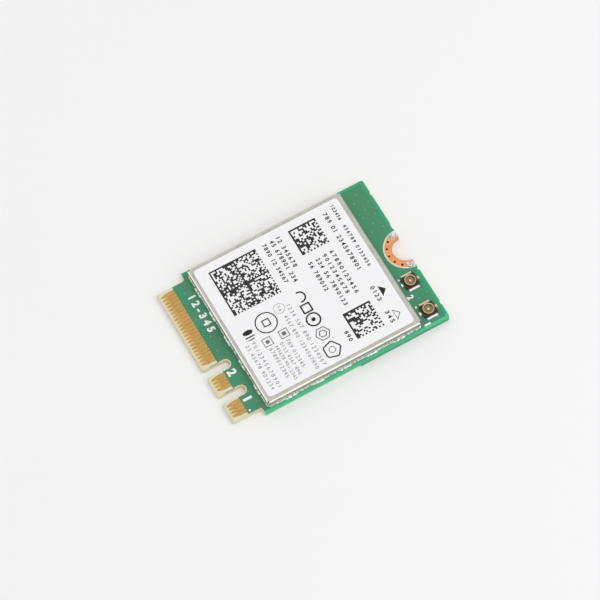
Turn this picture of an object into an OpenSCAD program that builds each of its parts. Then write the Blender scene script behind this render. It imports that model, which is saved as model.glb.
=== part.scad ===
// Plug-in wireless card for a laptop, lying flat on its underside.
// The origin is the middle of the underside. The contact edge faces -Y,
// the hold-down notch is in the +Y edge, and contact 1 is on the +X side.

/* [Board] */
// Width of the board
board_w = 22; // [22:0.5:30]
// Length of the board, from the contact edge to the notch edge
board_l = 30; // [30:0.5:42]
// Thickness of the board with both lacquer films
board_t = 0.8; // [0.6:0.05:1.2]
// Thickness of each lacquer film
mask_t = 0.04; // [0.02:0.005:0.06]
// Thickness of the copper on both faces
copper_t = 0.035; // [0.015:0.005:0.06]
// Radius of the two far corners
corner_r = 0.3; // [0.1:0.05:0.8]
// Depth of the step where the +X side was broken out of its panel
side_step = 0.1; // [0.02:0.02:0.3]
// Distance of that step from the notch edge
side_step_from_end = 12.65; // [8:0.05:20]

/* [Contact tongue] */
// Width of the contact tongue
tongue_w = 19.85; // [19.6:0.05:20.2]
// Length of the tongue, up to the shoulders
tongue_l = 4; // [3.9:0.1:5]
// Radius in the corners between tongue and shoulders
shoulder_r = 0.4; // [0.1:0.05:0.5]
// Length of the lead-in bevel on the contact edge
bevel_l = 0.28; // [0.1:0.02:0.3]
// Height of the lead-in bevel on each face
bevel_h = 0.1; // [0.04:0.02:0.2]
// Pitch of the contacts over both faces, so each face has every second one
contact_pitch = 0.25; // [0.24:0.01:0.25]
// Width of one contact
contact_w = 0.35; // [0.25:0.01:0.4]
// Width of a contact at its narrowed front end
contact_tip_w = 0.2; // [0.1:0.01:0.34]
// Length over which the front end of a contact narrows
contact_tip_l = 0.35; // [0.1:0.05:0.6]
// Gap between the contact edge and the contacts
contact_from_edge = 0.3; // [0.3:0.02:0.6]
// Distance from the contact edge to the lacquer
mask_from_edge = 2.15; // [1.6:0.05:2.6]
// Width of the key slots
key_w = 1.2; // [1:0.05:1.4]
// Depth of the key slots
key_depth = 3.5; // [2.8:0.05:3.7]
// Width of the bare strip that the lacquer leaves round the key slots
key_relief = 0.12; // [0.04:0.02:0.2]

/* [Hold-down notch] */
// Radius of the half-round notch
notch_r = 1.75; // [1.4:0.05:1.9]
// Width of the copper half ring round the notch
ring_w = 1; // [0.8:0.05:1.1]
// Gap between the half ring and the lacquer
ring_relief = 0.1; // [0.04:0.02:0.15]
// Thickness of the plating in the notch and in the small holes
plating_t = 0.025; // [0.015:0.005:0.04]
// Diameter of the small holes in the half ring
via_d = 0.3; // [0.15:0.05:0.4]
// Distance of the small holes from the wall of the notch
via_from_wall = 0.62; // [0.4:0.02:0.65]
// Angle between neighbouring small holes
via_step = 25; // [20:1:30]
// Number of small holes
via_count = 7; // [3:2:7]
// Thickness of the tin on the ends of the half ring
tin_t = 0.03; // [0.01:0.01:0.06]
// Length of each tinned patch from the notch edge
tin_l = 1; // [0.4:0.05:1.4]
// Gap between the wall of the notch and the tinned patches
tin_from_wall = 0.3; // [0.1:0.02:0.5]

/* [Shield can] */
// Height of the can over the board
shield_h = 1.35; // [1.3:0.05:1.8]
// Gap between the can and each long side of the board
shield_from_side = 0.5; // [0.4:0.05:1.2]
// Gap between the can and the shoulders of the tongue
shield_from_shoulder = 0.6; // [0.5:0.05:1.5]
// Gap between the can and the notch edge
shield_from_end = 3.65; // [3.6:0.05:4.5]
// Thickness of the sheet metal
sheet_t = 0.1; // [0.08:0.01:0.12]
// Outer radius of the folds of the lid
fold_r = 0.2; // [0.17:0.01:0.22]
// Height of the folded walls of the lid
lid_wall_h = 0.55; // [0.54:0.01:0.7]
// Radius of the relief holes at the corners of the lid
relief_r = 0.12; // [0.06:0.01:0.15]
// Sliding clearance between lid and frame on each side
lid_clear = 0.02; // [0.01:0.005:0.04]
// Outer corner radius of the frame
frame_corner_r = 0.4; // [0.3:0.05:0.8]
// Outer radius of the fold between the frame's wall and its flange
frame_fold_r = 0.15; // [0.14:0.01:0.2]
// Width of the inward flange on top of the frame
flange_w = 0.6; // [0.4:0.05:1]
// Width of the bar across the frame
bridge_w = 1.6; // [1:0.1:3]
// Diameter of the pick-up disc in the middle of that bar
pickup_d = 4; // [3:0.1:6]
// Size of the solder bead along the foot of the frame
bead_r = 0.12; // [0.06:0.01:0.18]
// Size of the fuller solder joints in that bead
joint_r = 0.24; // [0.19:0.01:0.28]
// Length of the fuller solder joints
joint_l = 1.5; // [0.8:0.1:2.4]
// Pitch of the fuller solder joints, and of the snap dimples above them
joint_pitch = 3.8; // [3.2:0.1:4.4]
// Inner radius of the snap dimples in the lid
dimple_r = 0.06; // [0.04:0.01:0.06]
// Distance of the snap dimples below the top of the lid
dimple_from_top = 0.37; // [0.36:0.01:0.38]
// Clearance of the snap dimples in the holes of the frame
dimple_clear = 0.02; // [0.01:0.01:0.03]

/* [Label] */
// Gap between the label and the short sides of the can
label_from_short_side = 0.55; // [0.4:0.05:1.5]
// Gap between the label and the long sides of the can
label_from_long_side = 0.62; // [0.4:0.02:1.5]
// Shift of the label towards the contacts
label_shift = 0.07; // [0:0.01:0.1]
// Corner radius of the label
label_r = 0.5; // [0.2:0.05:1]
// Thickness of the label
label_t = 0.08; // [0.05:0.01:0.12]

/* [Antenna sockets] */
// Distance of the outer socket from the +X side
socket_from_side = 2.14; // [1.8:0.02:2.2]
// Distance between the two sockets
socket_pitch = 4.5; // [4:0.05:4.5]
// Distance of the sockets from the notch edge
socket_from_end = 1.85; // [1.6:0.05:1.95]
// Height of the sockets over the board
socket_h = 0.6; // [0.55:0.01:0.8]
// Outer diameter of the gold ring
socket_ring_d = 1.5; // [1.4:0.02:1.52]
// Wall of the gold ring
socket_wall = 0.13; // [0.08:0.01:0.16]
// Height of the lip that the plug snaps over
socket_lip_h = 0.2; // [0.1:0.01:0.2]
// Depth of the ring's waist under that lip
socket_waist = 0.05; // [0.02:0.01:0.06]
// Size of the moulded base along the card's width
socket_base_w = 1.8; // [1.52:0.02:1.9]
// Size of the moulded base along the card's length
socket_base_l = 1.9; // [1.8:0.02:2.2]
// Height of the moulded base
socket_base_h = 0.26; // [0.2:0.01:0.3]
// Cut on the corners of the moulded base
socket_base_cut = 0.15; // [0.05:0.01:0.25]
// Overall width across the two solder tabs
socket_tab_w = 2.4; // [2.2:0.05:2.6]
// Length of each solder tab
socket_tab_l = 1.45; // [1.2:0.05:1.6]
// Thickness of the solder tabs and tails
socket_tab_t = 0.1; // [0.06:0.01:0.12]
// Reach of the two tails from the socket's centre
socket_tail = 1.25; // [1.1:0.05:1.35]
// Width of the two tails
socket_tail_w = 0.4; // [0.3:0.02:0.44]
// Diameter of the centre contact
socket_pin_d = 0.44; // [0.3:0.02:0.46]
// Distance of the centre contact's tip below the top of the ring
socket_pin_drop = 0.1; // [0.05:0.01:0.2]
// Gap between the gold pieces of a socket that must not touch
socket_gap = 0.1; // [0.06:0.01:0.12]

/* [Parts under the shield] */
// Width and length of the radio chip
chip_w = 8; // [6:0.5:9]
// Height of the radio chip
chip_h = 0.85; // [0.6:0.05:0.95]
// Height of the radio chip's carrier
chip_carrier_h = 0.25; // [0.15:0.05:0.4]
// Width of the rim that the radio chip's carrier leaves round its cap
chip_rim = 0.3; // [0.1:0.05:0.6]
// Size of a front-end module across the card
module_w = 3; // [2:0.1:3.4]
// Size of a front-end module along the card
module_l = 2.5; // [2:0.1:3]
// Height of a front-end module
module_h = 0.6; // [0.4:0.05:0.9]
// Distance between the two front-end modules
module_pitch = 4.5; // [4.2:0.1:4.8]
// Length of a diplexer
diplexer_l = 1.6; // [1.4:0.1:2]
// Width of a diplexer
diplexer_w = 0.8; // [0.6:0.05:1.2]
// Height of a diplexer
diplexer_h = 0.6; // [0.4:0.05:0.8]
// Width and length of a band filter
filter_w = 1.2; // [1:0.1:1.5]
// Height of a band filter
filter_h = 0.5; // [0.3:0.05:0.7]
// Length of the crystal
crystal_l = 2.5; // [2:0.1:3.2]
// Width of the crystal
crystal_w = 2; // [1.6:0.1:2.5]
// Height of the crystal
crystal_h = 0.55; // [0.4:0.05:0.8]
// Length of the memory chip
memory_l = 3; // [2:0.1:3.5]
// Width of the memory chip
memory_w = 2; // [1.5:0.1:2.5]
// Height of the memory chip
memory_h = 0.6; // [0.4:0.05:0.8]
// Length of a supply coil
coil_l = 2.5; // [2:0.1:2.8]
// Width of a supply coil
coil_w = 2; // [1.6:0.1:2.2]
// Height of a supply coil
coil_h = 0.95; // [0.6:0.05:0.95]
// Width and length of the supply chip
switch_w = 1.8; // [1.2:0.1:2]
// Height of the supply chip
switch_h = 0.5; // [0.4:0.05:0.8]
// Clearance between neighbouring parts under the shield
part_gap = 0.5; // [0.3:0.05:0.6]

/* [Hidden] */
$fn = 64;

// How far a cutting shape runs past what it cuts
cut = 0.5;

// Levels of the board's layers
laminate_bottom = mask_t;
laminate_top = board_t - mask_t;
laminate_t = laminate_top - laminate_bottom;

// Edges of the board
contact_edge = -board_l / 2;
notch_edge = board_l / 2;
shoulder_y = contact_edge + tongue_l;

// Contacts are numbered from the +X side: odd ones on top, even ones below
contact_last = 75;
contact_middle = (contact_last + 1) / 2;
key_a_contacts = [8, 15];
key_e_contacts = [24, 31];
contact_l = mask_from_edge - contact_from_edge;
function contact_x(n) = (contact_middle - n) * contact_pitch;
function key_x(range) = contact_x((range[0] + range[1]) / 2);
function is_keyed(n, range) = n >= range[0] && n <= range[1];
function has_contact(n) = !is_keyed(n, key_a_contacts) && !is_keyed(n, key_e_contacts);

// Hold-down notch
ring_r = notch_r + ring_w;
via_r = notch_r + via_from_wall;
function via_angle(i) = 270 + (i - (via_count - 1) / 2) * via_step;

// Shallow dips left by the tabs of the panel: [distance from the middle, width, depth]
tab_dips = [[-8.75, 0.6, 0.1], [-3.45, 1.1, 0.1], [3.25, 0.5, 0.16], [8.75, 0.7, 0.1]];

// Shield can
shield_w = board_w - 2 * shield_from_side;
shield_l = board_l - tongue_l - shield_from_shoulder - shield_from_end;
shield_y = shoulder_y + shield_from_shoulder + shield_l / 2;
shield_top = board_t + shield_h;
lid_under = shield_top - sheet_t;
frame_w = shield_w - 2 * (sheet_t + lid_clear);
frame_l = shield_l - 2 * (sheet_t + lid_clear);
frame_h = lid_under - board_t;
cavity_w = frame_w - 2 * sheet_t;
cavity_l = frame_l - 2 * sheet_t;
dimple_z = shield_top - dimple_from_top;
dimple_reach = sheet_t + lid_clear;
dimple_hole_r = sqrt(pow(dimple_r + sheet_t, 2) - pow(dimple_reach, 2)) + dimple_clear;
// Thickness that a solder fillet keeps at its thin edges
solder_edge = 0.02;
function joint_places(side) =
    let (n = floor((side / 2 - frame_corner_r - joint_l / 2) / joint_pitch))
    [for (i = [-n:n]) i * joint_pitch];

// Label
label_w = shield_w - 2 * label_from_long_side;
label_l = shield_l - 2 * (label_from_short_side + label_shift);
label_y = shield_y - label_shift;

// Antenna sockets
socket_y = notch_edge - socket_from_end;
socket_1_x = board_w / 2 - socket_from_side;
socket_2_x = socket_1_x - socket_pitch;
ring_outer = socket_ring_d / 2;
ring_inner = ring_outer - socket_wall;
tail_slot_w = socket_tail_w + 2 * socket_gap;

// Places of the parts under the shield, from the walls of its cavity
cavity_right = cavity_w / 2;
cavity_left = -cavity_w / 2;
cavity_rear = shield_y + cavity_l / 2;
cavity_front = shield_y - cavity_l / 2;
diplexer_y = cavity_rear - part_gap - diplexer_w / 2;
module_y = diplexer_y - diplexer_w / 2 - part_gap - module_l / 2;
filter_y = module_y - module_l / 2 - part_gap - filter_w / 2;
module_1_x = cavity_right - part_gap - module_w / 2;
module_2_x = module_1_x - module_pitch;
coil_y = cavity_front + part_gap + coil_w / 2;
coil_1_x = cavity_left + part_gap + coil_l / 2;
coil_2_x = coil_1_x + coil_l + part_gap;
switch_x = coil_2_x + coil_l / 2 + part_gap + switch_w / 2;

// Small soldered parts: length, width and height of a body
large_size = [1, 0.5, 0.5];
small_size = [0.6, 0.3, 0.3];

// The radio chip lies by the band filters and fits in front of the supply's capacitors
supply_rows = 2;
supply_rear = coil_y + coil_w / 2 + supply_rows * (large_size[1] + part_gap);
chip_rear = filter_y - filter_w / 2 - 2 * part_gap;
chip_side = min(chip_w, chip_rear - supply_rear - part_gap);
chip_x = -part_gap;
chip_y = chip_rear - chip_side / 2;
chip_edge_x = chip_x + chip_side / 2;
crystal_x = cavity_left + part_gap + crystal_w / 2;
crystal_y = chip_y + part_gap + crystal_l / 2;
memory_x = cavity_right - part_gap - memory_w / 2;
memory_y = chip_y - part_gap - memory_l / 2;

// Colours of the finishes
laminate_colour = [0.80, 0.77, 0.60];
mask_colour = [0.16, 0.50, 0.34];
gold = [0.83, 0.60, 0.20];
copper = [0.86, 0.56, 0.34];
tin = [0.88, 0.89, 0.90];
sheet_colour = [0.77, 0.75, 0.71];
paper = [0.95, 0.95, 0.96];
moulding = [0.12, 0.12, 0.13];
ceramic = [0.72, 0.66, 0.55];
brown_ceramic = [0.55, 0.42, 0.30];
grey_ceramic = [0.40, 0.42, 0.45];

module rounded_square(w, l, r) {
    square([w - 2 * r, l], center = true);
    square([w, l - 2 * r], center = true);
    for (x = [-1, 1], y = [-1, 1])
        translate([x * (w / 2 - r), y * (l / 2 - r)])
            circle(r);
}

// The fillet that fills an inner corner at the origin, in the quadrant of +x and -y
module corner_fillet(r) {
    difference() {
        translate([0, -r])
            square(r);
        translate([r, -r])
            circle(r);
    }
}

module key_slots(relief) {
    slot_w = key_w + 2 * relief;
    straight = key_depth - key_w / 2;
    for (x = [key_x(key_a_contacts), key_x(key_e_contacts)])
        translate([x, contact_edge]) {
            translate([-slot_w / 2, -cut])
                square([slot_w, straight + cut]);
            translate([0, straight])
                circle(slot_w / 2);
        }
}

module body_outline() {
    difference() {
        union() {
            translate([-board_w / 2, shoulder_y])
                square([board_w, notch_edge - shoulder_y - corner_r]);
            translate([-board_w / 2 + corner_r, notch_edge - corner_r])
                square([board_w - 2 * corner_r, corner_r]);
            for (side = [-1, 1])
                translate([side * (board_w / 2 - corner_r), notch_edge - corner_r])
                    circle(corner_r);
        }
        translate([board_w / 2 - side_step, shoulder_y - cut])
            square([side_step + cut, notch_edge - side_step_from_end - shoulder_y + cut]);
    }
}

// The round bottom of a dip is an arc that is dip[1] wide and dip[2] deep
module tab_dip(dip) {
    arc_r = (pow(dip[1] / 2, 2) + pow(dip[2], 2)) / (2 * dip[2]);
    translate([dip[0], notch_edge + arc_r - dip[2]])
        circle(arc_r);
}

module board_outline() {
    difference() {
        union() {
            body_outline();
            translate([-tongue_w / 2, contact_edge])
                square([tongue_w, tongue_l]);
            translate([tongue_w / 2, shoulder_y])
                corner_fillet(shoulder_r);
            translate([-tongue_w / 2, shoulder_y])
                mirror([1, 0])
                    corner_fillet(shoulder_r);
        }
        key_slots(0);
        for (dip = tab_dips)
            tab_dip(dip);
    }
}

module at_vias() {
    for (i = [0:via_count - 1])
        translate([0, notch_edge])
            rotate(via_angle(i))
                translate([via_r, 0])
                    children();
}

// The wedge that bevels the contact edge of the laminate's upper face
module contact_bevel() {
    rotate([90, 0, 90])
        linear_extrude(tongue_w + 2 * cut, center = true)
            polygon([
                [contact_edge - cut, laminate_top - bevel_h],
                [contact_edge, laminate_top - bevel_h],
                [contact_edge + bevel_l, laminate_top],
                [contact_edge + bevel_l, laminate_top + cut],
                [contact_edge - cut, laminate_top + cut]
            ]);
}

module circuit_board() {
    color(laminate_colour)
        difference() {
            translate([0, 0, laminate_bottom])
                linear_extrude(laminate_t)
                    difference() {
                        board_outline();
                        translate([0, notch_edge])
                            circle(notch_r + plating_t);
                        at_vias()
                            circle(via_d / 2 + plating_t);
                    }
            contact_bevel();
            translate([0, 0, board_t])
                mirror([0, 0, 1])
                    contact_bevel();
        }
}

module solder_mask() {
    linear_extrude(mask_t)
        difference() {
            board_outline();
            translate([-board_w / 2 - cut, contact_edge - cut])
                square([board_w + 2 * cut, mask_from_edge + cut]);
            key_slots(key_relief);
            translate([0, notch_edge])
                circle(ring_r + ring_relief);
        }
}

module solder_mask_top() {
    color(mask_colour)
        translate([0, 0, laminate_top])
            solder_mask();
}

module solder_mask_bottom() {
    color(mask_colour)
        solder_mask();
}

// Outline of one contact, which narrows towards the edge so that it enters its socket softly
module contact_outline() {
    polygon([
        [-contact_tip_w / 2, 0],
        [contact_tip_w / 2, 0],
        [contact_w / 2, contact_tip_l],
        [contact_w / 2, contact_l],
        [-contact_w / 2, contact_l],
        [-contact_w / 2, contact_tip_l]
    ]);
}

// One row of contacts on one face, from contact number first on
module contact_row(first) {
    for (n = [first:2:contact_last])
        if (has_contact(n))
            translate([contact_x(n), contact_edge + contact_from_edge, 0])
                linear_extrude(copper_t)
                    contact_outline();
}

module edge_contacts_top() {
    color(gold)
        translate([0, 0, laminate_top])
            contact_row(1);
}

module edge_contacts_bottom() {
    color(gold)
        translate([0, 0, laminate_bottom - copper_t])
            contact_row(2);
}

module past_the_notch_edge() {
    translate([-board_w / 2, notch_edge, -cut])
        cube([board_w, ring_r + cut, board_t + 2 * cut]);
}

module mounting_pad() {
    pad_bottom = laminate_bottom - copper_t;
    pad_h = laminate_t + 2 * copper_t;
    color(copper)
        difference() {
            union() {
                translate([0, notch_edge, laminate_top])
                    cylinder(h = copper_t, r = ring_r);
                translate([0, notch_edge, pad_bottom])
                    cylinder(h = copper_t, r = ring_r);
                translate([0, notch_edge, pad_bottom])
                    cylinder(h = pad_h, r = notch_r + plating_t);
                at_vias()
                    translate([0, 0, pad_bottom])
                        cylinder(h = pad_h, d = via_d + 2 * plating_t);
            }
            translate([0, notch_edge, -cut])
                cylinder(h = board_t + 2 * cut, r = notch_r);
            at_vias()
                translate([0, 0, -cut])
                    cylinder(h = board_t + 2 * cut, d = via_d);
            past_the_notch_edge();
        }
}

module mounting_pad_tinning() {
    color(tin)
        translate([0, 0, laminate_top + copper_t])
            linear_extrude(tin_t)
                intersection() {
                    translate([0, notch_edge])
                        difference() {
                            circle(ring_r);
                            circle(notch_r + tin_from_wall);
                        }
                    translate([-ring_r, notch_edge - tin_l])
                        square([2 * ring_r, tin_l]);
                }
}

module at_dimples() {
    for (side = [-1, 1]) {
        for (place = joint_places(frame_l))
            translate([side * shield_w / 2, shield_y + place, dimple_z])
                rotate([0, 0, side > 0 ? 0 : 180])
                    children();
        for (place = joint_places(frame_w))
            translate([place, shield_y + side * shield_l / 2, dimple_z])
                rotate([0, 0, side * 90])
                    children();
    }
}

// Profile of a wall that folds into a flat top: the fold starts at x = 0, and the wall hangs from y = 0
module fold_profile(r, wall_h) {
    difference() {
        intersection() {
            circle(r);
            square(r);
        }
        circle(r - sheet_t);
    }
    translate([r - sheet_t, r - wall_h])
        square([sheet_t, wall_h - r]);
}

// One folded wall along x, with its fold starting at y = 0 and z = 0
module folded_wall(wall_l, r, wall_h) {
    rotate([90, 0, 90])
        linear_extrude(wall_l, center = true)
            fold_profile(r, wall_h);
}

// Four folded walls round a flat top of size w by l
module folded_walls(w, l, r, wall_h) {
    for (side = [-1, 1]) {
        translate([0, side * l / 2, 0])
            rotate(side > 0 ? 0 : 180)
                folded_wall(w, r, wall_h);
        translate([side * w / 2, 0, 0])
            rotate(-side * 90)
                folded_wall(l, r, wall_h);
    }
}

// Sweeps a profile round a rectangle of size w by l with corners of radius r. The profile's
// x = 0 is on the rectangle's edge, with +x outwards, and reaches no further in than r.
module swept_round(w, l, r) {
    for (turn = [0:3]) {
        across = turn % 2 == 0 ? w : l;
        along = turn % 2 == 0 ? l : w;
        rotate(turn * 90) {
            translate([across / 2, 0, 0])
                rotate([90, 0, 0])
                    linear_extrude(along - 2 * r, center = true)
                        children();
            translate([across / 2 - r, along / 2 - r, 0])
                rotate_extrude(angle = 90)
                    translate([r, 0])
                        children();
        }
    }
}

module frame_shell() {
    flat_w = frame_w - 2 * frame_fold_r;
    flat_l = frame_l - 2 * frame_fold_r;
    inner_corner = frame_corner_r - frame_fold_r;
    translate([0, 0, frame_h - frame_fold_r])
        swept_round(flat_w, flat_l, inner_corner)
            fold_profile(frame_fold_r, frame_h);
    translate([0, 0, frame_h - sheet_t])
        linear_extrude(sheet_t)
            frame_flange(flat_w, flat_l, inner_corner);
}

module shield_frame() {
    color(sheet_colour)
        difference() {
            translate([0, shield_y, board_t])
                frame_shell();
            at_dimples()
                rotate([0, -90, 0])
                    cylinder(h = cut, r = dimple_hole_r);
        }
}

module frame_flange(w, l, corner) {
    difference() {
        rounded_square(w, l, corner);
        difference() {
            rounded_square(cavity_w - 2 * flange_w, cavity_l - 2 * flange_w, frame_corner_r);
            square([cavity_w, bridge_w], center = true);
            circle(d = pickup_d);
        }
    }
}

// The pressed-in wall of a snap dimple, centred on the outer face, with +x outwards
module dimple_wall() {
    difference() {
        sphere(dimple_r + sheet_t);
        sphere(dimple_r);
        translate([0, -cut, -cut])
            cube(2 * cut);
    }
}

module shield_lid() {
    flat_w = shield_w - 2 * fold_r;
    flat_l = shield_l - 2 * fold_r;
    color(sheet_colour) {
        difference() {
            union() {
                translate([-flat_w / 2, shield_y - flat_l / 2, lid_under])
                    cube([flat_w, flat_l, sheet_t]);
                translate([0, shield_y, shield_top - fold_r])
                    folded_walls(flat_w, flat_l, fold_r, lid_wall_h);
            }
            for (x = [-1, 1], y = [-1, 1])
                translate([x * flat_w / 2, shield_y + y * flat_l / 2, shield_top - fold_r])
                    cylinder(h = fold_r + cut, r = relief_r);
            at_dimples()
                sphere(dimple_r);
        }
        at_dimples()
            dimple_wall();
    }
}

// Hollow section of a solder fillet of size r, between a floor and a wall at x = 0
module fillet_profile(r) {
    difference() {
        square(r + solder_edge);
        translate([r + solder_edge, r + solder_edge])
            circle(r);
    }
}

// The fuller joints along the two walls that stand at x = -across / 2 and across / 2
module solder_joints(across, along) {
    for (side = [0, 180], place = joint_places(along))
        rotate(side)
            translate([across / 2, place, 0])
                rotate([90, 0, 0])
                    linear_extrude(joint_l, center = true)
                        fillet_profile(joint_r);
}

module shield_solder() {
    color(tin)
        translate([0, shield_y, board_t]) {
            swept_round(frame_w, frame_l, frame_corner_r)
                fillet_profile(bead_r);
            solder_joints(frame_w, frame_l);
            rotate(90)
                solder_joints(frame_l, frame_w);
        }
}

module label() {
    color(paper)
        translate([0, label_y, shield_top])
            linear_extrude(label_t)
                rounded_square(label_w, label_l, label_r);
}

// Outline of the stamped foot of a socket's shell: two tabs, the ring's seat and the ground tail
module shell_foot() {
    difference() {
        union() {
            square([socket_tab_w, socket_tab_l], center = true);
            translate([-socket_tail_w / 2, 0])
                square([socket_tail_w, socket_tail]);
        }
        circle(ring_inner);
        translate([-tail_slot_w / 2, -socket_tail])
            square([tail_slot_w, socket_tail]);
    }
}

// Turned profile of the gold ring, with the lip that a plug snaps over and the round waist under it
module shell_ring() {
    edge = socket_wall / 4;
    waist_h = socket_h - edge - socket_lip_h;
    waist_r = (pow(waist_h / 2, 2) + pow(socket_waist, 2)) / (2 * socket_waist);
    rotate_extrude()
        difference() {
            polygon([
                [ring_inner, 0],
                [ring_outer, 0],
                [ring_outer, socket_h - edge],
                [ring_outer - edge, socket_h],
                [ring_inner + edge, socket_h],
                [ring_inner, socket_h - edge]
            ]);
            translate([ring_outer - socket_waist + waist_r, waist_h / 2])
                circle(waist_r);
        }
}

// The slot through the ring's foot that the signal tail leaves by
module tail_slot() {
    translate([-tail_slot_w / 2, -socket_tail, -cut])
        cube([tail_slot_w, socket_tail, socket_tab_t + socket_gap + cut]);
}

module socket_shell() {
    color(gold) {
        linear_extrude(socket_tab_t)
            shell_foot();
        difference() {
            shell_ring();
            tail_slot();
        }
    }
}

module socket_pin() {
    tip_r = socket_pin_d / 2;
    pin_h = socket_h - socket_pin_drop - tip_r;
    color(gold) {
        cylinder(h = pin_h, r = tip_r);
        translate([0, 0, pin_h])
            sphere(tip_r);
        translate([-socket_tail_w / 2, -socket_tail, 0])
            cube([socket_tail_w, socket_tail, socket_tab_t]);
    }
}

module socket_base() {
    floor_h = (socket_tab_t + socket_base_h) / 2;
    core_clear = 0.03;
    color(moulding)
        difference() {
            linear_extrude(socket_base_h)
                difference() {
                    square([socket_base_w, socket_base_l], center = true);
                    for (x = [-1, 1], y = [-1, 1])
                        translate([x * socket_base_w / 2, y * socket_base_l / 2])
                            rotate(45)
                                square(socket_base_cut * sqrt(2), center = true);
                }
            translate([0, 0, -cut])
                linear_extrude(socket_tab_t + cut)
                    shell_foot();
            difference() {
                translate([0, 0, -cut])
                    cylinder(h = socket_base_h + 2 * cut, r = ring_outer);
                translate([0, 0, -2 * cut])
                    cylinder(h = floor_h + 2 * cut, r = ring_inner - core_clear);
                tail_slot();
            }
            translate([0, 0, -cut])
                cylinder(h = socket_base_h + 2 * cut, d = socket_pin_d);
            translate([-socket_tail_w / 2, -socket_tail, -cut])
                cube([socket_tail_w, socket_tail, socket_tab_t + cut]);
        }
}

module at_socket(x) {
    translate([x, socket_y, board_t])
        children();
}

// A moulded package with a cut round its top edge and a mark dimple at its first corner
module package(w, l, h) {
    top_cut = 0.08;
    mark_r = 0.18;
    mark_depth = 0.04;
    mark_from_edge = 0.45;
    translate([0, 0, board_t])
        difference() {
            union() {
                translate([-w / 2, -l / 2, 0])
                    cube([w, l, h - top_cut]);
                translate([-w / 2 + top_cut, -l / 2 + top_cut, 0])
                    cube([w - 2 * top_cut, l - 2 * top_cut, h]);
            }
            translate([-w / 2 + mark_from_edge, l / 2 - mark_from_edge, h - mark_depth])
                cylinder(h = mark_depth + cut, r = mark_r);
        }
}

module wireless_chip() {
    color(moulding)
        translate([chip_x, chip_y, 0]) {
            translate([-chip_side / 2, -chip_side / 2, board_t])
                cube([chip_side, chip_side, chip_carrier_h]);
            package(chip_side - 2 * chip_rim, chip_side - 2 * chip_rim, chip_h);
        }
}

module front_end_module() {
    color(moulding)
        package(module_w, module_l, module_h);
}

// A ceramic block with metal bands on its ends and in its middle
module diplexer() {
    band_w = 0.3;
    band_t = 0.02;
    color(ceramic)
        translate([0, 0, board_t]) {
            translate([-diplexer_l / 2 + band_t, -diplexer_w / 2 + band_t, 0])
                cube([diplexer_l - 2 * band_t, diplexer_w - 2 * band_t, diplexer_h - band_t]);
            for (x = [-diplexer_l / 2, -band_w / 2, diplexer_l / 2 - band_w])
                translate([x, -diplexer_w / 2, 0])
                    cube([band_w, diplexer_w, diplexer_h]);
        }
}

module band_filter() {
    color(grey_ceramic)
        package(filter_w, filter_w, filter_h);
}

// A ceramic tray with a welded metal cover
module crystal() {
    cover_h = 0.12;
    cover_in = 0.12;
    color(tin)
        translate([crystal_x, crystal_y, board_t]) {
            translate([-crystal_w / 2, -crystal_l / 2, 0])
                cube([crystal_w, crystal_l, crystal_h - cover_h]);
            linear_extrude(crystal_h)
                rounded_square(crystal_w - 2 * cover_in, crystal_l - 2 * cover_in, cover_in);
        }
}

module memory_chip() {
    color(moulding)
        translate([memory_x, memory_y, 0])
            package(memory_w, memory_l, memory_h);
}

// A pressed block with a wrapped terminal at each end
module power_inductor() {
    terminal_t = 0.06;
    terminal_w = 0.5;
    color(grey_ceramic)
        translate([0, 0, board_t]) {
            linear_extrude(coil_h)
                rounded_square(coil_l - 2 * terminal_t, coil_w, 2 * terminal_t);
            for (side = [-1, 1])
                translate([side * (coil_l - terminal_w) / 2, 0, coil_h / 4])
                    cube([terminal_w, coil_w - 4 * terminal_t, coil_h / 2], center = true);
        }
}

module power_switch() {
    color(moulding)
        translate([switch_x, coil_y, 0])
            package(switch_w, switch_w, switch_h);
}

// A soldered chip part along x: a body between two slightly larger end caps
module chip_part(size) {
    cap_l = size[0] / 4;
    cap_t = 0.02;
    translate([-size[0] / 2, -size[1] / 2, board_t]) {
        translate([cap_t, cap_t, 0])
            cube([size[0] - 2 * cap_t, size[1] - 2 * cap_t, size[2] - cap_t]);
        cube([cap_l, size[1], size[2]]);
        translate([size[0] - cap_l, 0, 0])
            cube([cap_l, size[1], size[2]]);
    }
}

// A row of chip parts along y, from y to y + (count - 1) * pitch
module chip_row(size, x, y, count, pitch) {
    for (i = [0:count - 1])
        translate([x, y + i * pitch, 0])
            chip_part(size);
}

module large_capacitors() {
    pitch = large_size[1] + part_gap;
    color(brown_ceramic) {
        chip_row(large_size, chip_x - chip_side / 2 - part_gap - large_size[0] / 2,
            chip_y - chip_side / 2 + large_size[1] / 2, 4, pitch);
        chip_row(large_size, coil_1_x, coil_y + coil_w / 2 + part_gap + large_size[1] / 2, supply_rows, pitch);
        chip_row(large_size, coil_2_x, coil_y + coil_w / 2 + part_gap + large_size[1] / 2, 1, pitch);
    }
}

module small_capacitors() {
    pitch = small_size[1] + part_gap;
    color(brown_ceramic)
        for (i = [0:1]) {
            chip_row(small_size, chip_edge_x + part_gap + small_size[0] / 2 + i * 2 * small_size[0],
                chip_y - chip_side / 2 + small_size[1] / 2, 4, pitch);
            chip_row(small_size, chip_x - chip_side / 2 + small_size[0] / 2 + i * 2 * small_size[0],
                chip_y + chip_side / 2 + part_gap + small_size[1] / 2, 3, pitch);
        }
}

module resistors() {
    pitch = small_size[1] + part_gap;
    color(moulding)
        for (i = [0:1])
            chip_row(small_size, switch_x + switch_w / 2 + part_gap + small_size[0] / 2
                + i * 2 * small_size[0], coil_y - small_size[1], 3, pitch);
}

module chip_inductors() {
    pitch = small_size[1] + part_gap;
    color(grey_ceramic)
        for (x = [module_1_x, module_2_x])
            chip_row(small_size, x - module_w / 2 + small_size[0] / 2,
                filter_y - small_size[1] - part_gap / 2, 2, pitch);
}

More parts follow.
